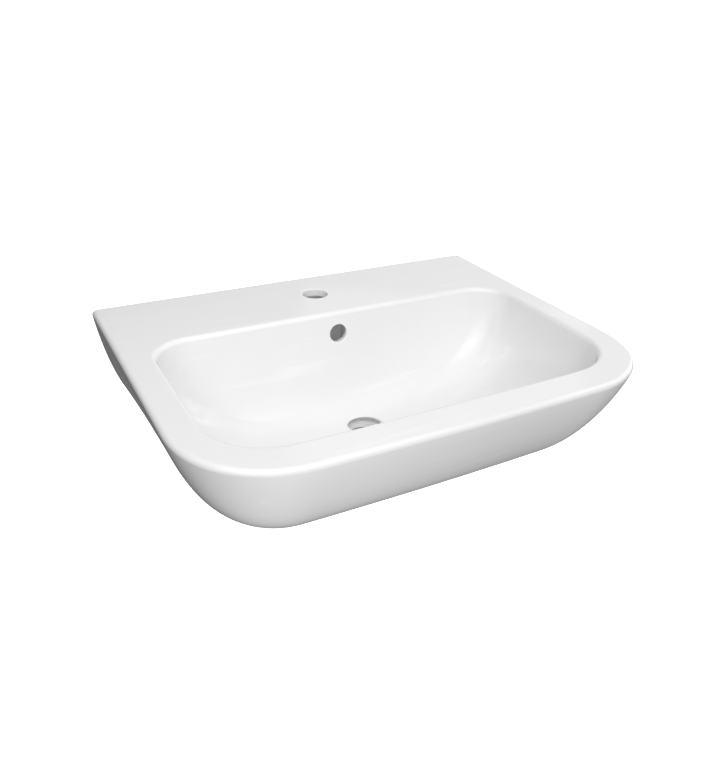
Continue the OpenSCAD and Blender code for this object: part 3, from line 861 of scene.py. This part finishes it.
def onBothBolts(tree, geometry, spacing, material):
    # one copy on each bolt's axis, with its own z towards the front
    row = addNode(tree, "GeometryNodeMeshLine", Count=2)
    feed(tree, row.inputs["Start Location"], vector(tree, spacing * -0.5, 0.0, 0.0))
    feed(tree, row.inputs["Offset"], vector(tree, spacing, 0.0, 0.0))
    copies = addNode(tree, "GeometryNodeInstanceOnPoints", Points=row.outputs[0], Instance=geometry)
    copies.inputs["Rotation"].default_value = (quarter, 0.0, 0.0)
    finishTree(tree, copies.outputs[0], material)


def dressFixing(name, tree, sizes, material, node, sharpAngle):
    piece = plainMesh(name, tree, dict(sizes, spacing=fixingSpacing), material)
    smoothShade(piece, sharpAngle)
    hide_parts(node)
    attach(piece, "root")
    print(name, "made:", len(piece.data.polygons), "faces")


hangerBolt = dict(
    radius=0.005, tip=-0.078, tipCone=0.009, end=0.0435, endEdge=0.0008,
    driveHeight=0.005, driveCorner=0.0035, driveEdge=0.0006,
    woodRoot=0.0034, woodPitch=0.0045, woodCrest=1.8, woodStart=0.002, woodLead=0.008,
    woodEnd=-0.006, woodFade=0.004, shankRadius=0.0046,
    machineRoot=0.0043, machinePitch=0.0015, machineStart=0.004, fade=0.001,
)
boltColumns = 24
boltRows = 486  # 0.25 mm each, six to a turn of the machine thread


def makeHangerBolts():
    tree, s = fixingTree("hangerBolt", hangerBolt)

    def ridge(z, column, pitch):
        # 0 in a thread's root and 1 on its crest, turning with the column
        return 1.0 - ((z / pitch - column).math("FRACT") * 2.0 - 1.0).math("ABSOLUTE")

    def shank(column, row):
        z = mix(s["tip"], s["end"], row)
        cone = limit((z - s["tip"]) / s["tipCone"])
        wood = (ridge(z, column, s["woodPitch"]) ** s["woodCrest"]
                * limit((z - s["tip"] - s["woodStart"]) / s["woodLead"])
                * limit((s["woodEnd"] - z) / s["woodFade"]))
        machine = (ridge(z, column, s["machinePitch"]) * limit((z - s["machineStart"]) / s["fade"])
                   * limit((s["end"] - s["endEdge"] - z) / s["fade"]))
        core = mix(s["woodRoot"], s["shankRadius"], limit((z - s["woodEnd"]) / s["fade"]))
        core = mix(core, s["machineRoot"], limit((z - s["machineStart"] + s["fade"]) / s["fade"]))
        threaded = (core + (s["radius"] - s["woodRoot"]) * wood
                    + (s["radius"] - s["machineRoot"]) * machine)
        chamfer = s["radius"] - s["endEdge"] + (s["end"] - z)
        return roundPoint(column, threaded.math("MINIMUM", chamfer) * cone, z)

    lastRadius = s["machineRoot"].math("MINIMUM", s["radius"] - s["endEdge"])
    drive = hexagon(s["driveCorner"])
    top = s["end"] + s["driveHeight"]
    stations = [(lastRadius, s["end"]), (drive, s["end"]), (drive, top - s["driveEdge"]),
                (lambda column: drive(column) - s["driveEdge"], top), (constant(tree, 0.0), top)]
    sheets = [sheetOf(tree, boltColumns, boltRows, shank)] + lathedSheets(tree, boltColumns, stations)
    onBothBolts(tree, closedShell(tree, sheets), s["spacing"], zincMaterial)
    dressFixing("hanger_bolts_threaded", tree, hangerBolt, zincMaterial, "hanger_bolts",
                sharpAngle=40)


wallPlug = dict(
    radius=0.007, length=0.070, boreRadius=0.00505, headLength=0.014,
    ribDepth=0.0007, ribPitch=0.0042, ribFade=0.001, tipLength=0.004, tipDrop=0.0007,
    slotWidth=0.0014, slotEnd=0.020, slotPast=0.001,
)
plugColumns = 48
plugRows = 200


def makeWallPlugs():
    tree, s = fixingTree("wallPlug", wallPlug)
    zero = constant(tree, 0.0)

    def skin(column, row):
        z = mix(-s["length"], zero, row)
        saw = 1.0 - (z / s["ribPitch"]).math("FRACT")
        ribbed = limit((-s["headLength"] - z) / s["ribFade"])
        lead = limit(1.0 - (z + s["length"]) / s["tipLength"])  # the tip narrows to enter its hole
        return roundPoint(column, s["radius"] - s["ribDepth"] * saw * ribbed - s["tipDrop"] * lead, z)

    def tipRing(column, row):
        x, y, z = skin(column, zero)
        boreX, boreY = roundPoint(column, s["boreRadius"], z)[:2]
        return mix(boreX, x, row), mix(boreY, y, row), z

    inside = [(s["radius"], zero), (s["boreRadius"], zero), (s["boreRadius"], -s["length"])]
    sheets = [sheetOf(tree, plugColumns, plugRows, skin)] + lathedSheets(tree, plugColumns, inside)
    sheets.append(sheetOf(tree, plugColumns, 1, tipRing))
    half, wide = s["slotWidth"] * 0.5, s["radius"] + s["slotPast"]
    low, high = -s["length"] - s["slotPast"], -s["slotEnd"]
    slots = [boxOf(tree, (-half, -wide, low), (half, wide, high)),
             boxOf(tree, (-wide, -half, low), (wide, half, high))]
    split = combine(tree, "DIFFERENCE", closedShell(tree, sheets), *slots)
    onBothBolts(tree, split, s["spacing"], plugMaterial)
    dressFixing("wall_plugs_ribbed", tree, wallPlug, plugMaterial, "wall_plugs",
                sharpAngle=30)


nutCap = dict(
    start=0.0315, length=0.021, radius=0.01201, wall=0.0022, rimEdge=0.0004,
    hexCorner=0.00987, hexDepth=0.008, boreRadius=0.006, domeRadius=0.0042,
)
capColumns = 60
domeAngles = [math.radians(degrees) for degrees in range(0, 91, 10)]


def makeNutCaps():
    tree, s = fixingTree("nutCap", nutCap)
    zero = constant(tree, 0.0)
    start, top = s["start"], s["start"] + s["length"]
    socket = hexagon(s["hexCorner"])
    stations = [(zero, top - s["wall"]), (s["boreRadius"], top - s["wall"]),
                (s["boreRadius"], start + s["hexDepth"]), (socket, start + s["hexDepth"]),
                (socket, start), (s["radius"] - s["rimEdge"], start), (s["radius"], start + s["rimEdge"])]
    stations += [(s["radius"] - s["domeRadius"] * (1.0 - math.cos(angle)),
                  top - s["domeRadius"] * (1.0 - math.sin(angle))) for angle in domeAngles]
    stations.append((zero, top))
    cap = closedShell(tree, lathedSheets(tree, capColumns, stations))
    onBothBolts(tree, cap, s["spacing"], capMaterial)
    dressFixing("nut_caps_domed", tree, nutCap, capMaterial, "nut_caps",
                sharpAngle=30)


makeHangerBolts()
makeWallPlugs()
makeNutCaps()
for nodeName, material in (("washers", zincMaterial), ("hex_nuts", zincMaterial),
                           ("collar_bushes", bushMaterial)):
    for slotOfNode in frame["nodes"][nodeName].material_slots:
        slotOfNode.material = material
print("fixings made")


studio = dict(
    floorLevel=-0.772, floorReach=12.0, coveHeight=8.0, floorSides=96, coveSteps=16,
    floorColour=(0.9, 0.9, 0.9, 1.0), floorRoughness=0.9, floorGlow=1.0,
    # name, place, what it points at, width, height, watts
    softBoxes=[
        ("overhead", (0.0, -0.3, 2.2), (0.0, -0.25, 0.0), 2.6, 2.0, 10.8),
        ("frontLeft", (-1.3, -1.7, 1.1), (0.0, -0.25, 0.0), 2.4, 2.4, 22.0),
        ("rightSide", (1.9, -0.4, 0.9), (0.0, -0.25, 0.0), 1.8, 1.8, 13.3),
        ("near", (-0.25, -0.75, 1.0), (0.0, -0.3, 0.0), 1.3, 1.2, 3.5),
        ("backRight", (1.2, 1.3, 1.2), (0.0, -0.25, 0.0), 1.2, 0.8, 0.9),
    ],
    # where the studio is bright round the basin, and how bright
    airFocus=6.0,
    air=[((0, -1, 1), 1.45), ((0, 1, 1), 0.20), ((1, 1, 0), 1.20), ((-1, 0, 1), 0.32),
         ((0, -1, -1), 1.46), ((0, 0, -1), 0.92)],
)


def makeFloor():
    # a flat floor that sweeps up far away on all sides, like a studio's cove
    level, reach, rise = studio["floorLevel"], studio["floorReach"], studio["coveHeight"]
    sides, steps = studio["floorSides"], studio["coveSteps"]
    rings = [(reach, level)]
    rings += [(reach + rise * math.sin(a), level + rise * (1.0 - math.cos(a)))
              for a in (math.pi / 2 * k / steps for k in range(1, steps + 1))]
    points = [(0.0, 0.0, level)]
    for r, z in rings:
        points += [(r * math.cos(2 * math.pi * k / sides), r * math.sin(2 * math.pi * k / sides), z)
                   for k in range(sides)]
    faces = [(0, 1 + k, 1 + (k + 1) % sides) for k in range(sides)]
    for ring in range(len(rings) - 1):
        for k in range(sides):
            a, b = 1 + ring * sides + k, 1 + ring * sides + (k + 1) % sides
            faces.append((a, a + sides, b + sides, b))
    mesh = bpy.data.meshes.new("floor")
    mesh.from_pydata(points, [], faces)
    mesh.shade_smooth()
    floor = bpy.data.objects.new("floor", mesh)
    bpy.context.scene.collection.objects.link(floor)
    material, tree, shader = newMaterial("paleFloor")
    shader.inputs["Base Color"].default_value = studio["floorColour"]
    shader.inputs["Roughness"].default_value = studio["floorRoughness"]
    shader.inputs["Emission Color"].default_value = (1.0, 1.0, 1.0, 1.0)
    shader.inputs["Emission Strength"].default_value = studio["floorGlow"]
    mesh.materials.append(material)
    # it is lit for the camera alone, so the basin's underside keeps its shade
    floor.visible_diffuse = False
    floor.visible_glossy = False


def softBox(name, place, target, width, height, power):
    data = bpy.data.lights.new(name, "AREA")
    data.shape = "RECTANGLE"
    data.size, data.size_y = width, height
    data.energy = power
    lamp = bpy.data.objects.new(name, data)
    lamp.location = place
    lamp.rotation_euler = (Vector(target) - Vector(place)).to_track_quat("-Z", "Y").to_euler()
    bpy.context.scene.collection.objects.link(lamp)


def makeAir():
    # the studio round the basin: soft patches of light, each in its own direction
    world = bpy.data.worlds.new("studioAir")
    world.use_nodes = True
    tree = world.node_tree
    shader = next(n for n in tree.nodes if n.type == "BACKGROUND")
    sky = addNode(tree, "ShaderNodeTexCoord").outputs["Generated"]  # the direction looked in
    total = constant(tree, 0.0)
    for direction, strength in studio["air"]:
        dot = addNode(tree, "ShaderNodeVectorMath", {"operation": "DOT_PRODUCT"})
        tree.links.new(sky, dot.inputs[0])
        dot.inputs[1].default_value = Vector(direction).normalized()
        facing = Field(tree, dot.outputs["Value"]).math("MAXIMUM", 0.0)
        total = total + facing ** studio["airFocus"] * strength
    feed(tree, shader.inputs["Strength"], total)
    shader.inputs["Color"].default_value = (1.0, 1.0, 1.0, 1.0)
    bpy.context.scene.world = world


makeFloor()
for lamp in studio["softBoxes"]:
    softBox(*lamp)
makeAir()
bpy.context.scene.view_settings.view_transform = "Standard"
print("studio made")


camera = dict(
    place=(-0.4234, -0.9609, 0.4689), target=(0.0, -0.230, 0.018),
    roll=-2.39, focalPixels=752.0, centre=(370.5, 381.8), frame=(720, 780),
    sensor=36.0, farEnd=200.0,
)


def makeCamera():
    data = bpy.data.cameras.new("camera")
    wide, high = camera["frame"]
    data.sensor_fit = "VERTICAL"
    data.sensor_height = camera["sensor"]
    data.lens = camera["focalPixels"] * camera["sensor"] / high
    data.shift_x = (wide / 2 - camera["centre"][0]) / high
    data.shift_y = (camera["centre"][1] - high / 2) / high
    data.clip_end = camera["farEnd"]
    eye = bpy.data.objects.new("camera", data)
    eye.location = camera["place"]
    look = (Vector(camera["target"]) - Vector(camera["place"])).to_track_quat("-Z", "Y").to_matrix()
    turn = math.radians(camera["roll"])
    right, up, back = look.col[0].copy(), look.col[1].copy(), look.col[2].copy()
    rolledRight = math.cos(turn) * right - math.sin(turn) * up
    rolledUp = math.sin(turn) * right + math.cos(turn) * up
    for row in range(3):
        look[row][0], look[row][1], look[row][2] = rolledRight[row], rolledUp[row], back[row]
    eye.rotation_euler = look.to_euler()
    bpy.context.scene.collection.objects.link(eye)
    bpy.context.scene.camera = eye


makeCamera()
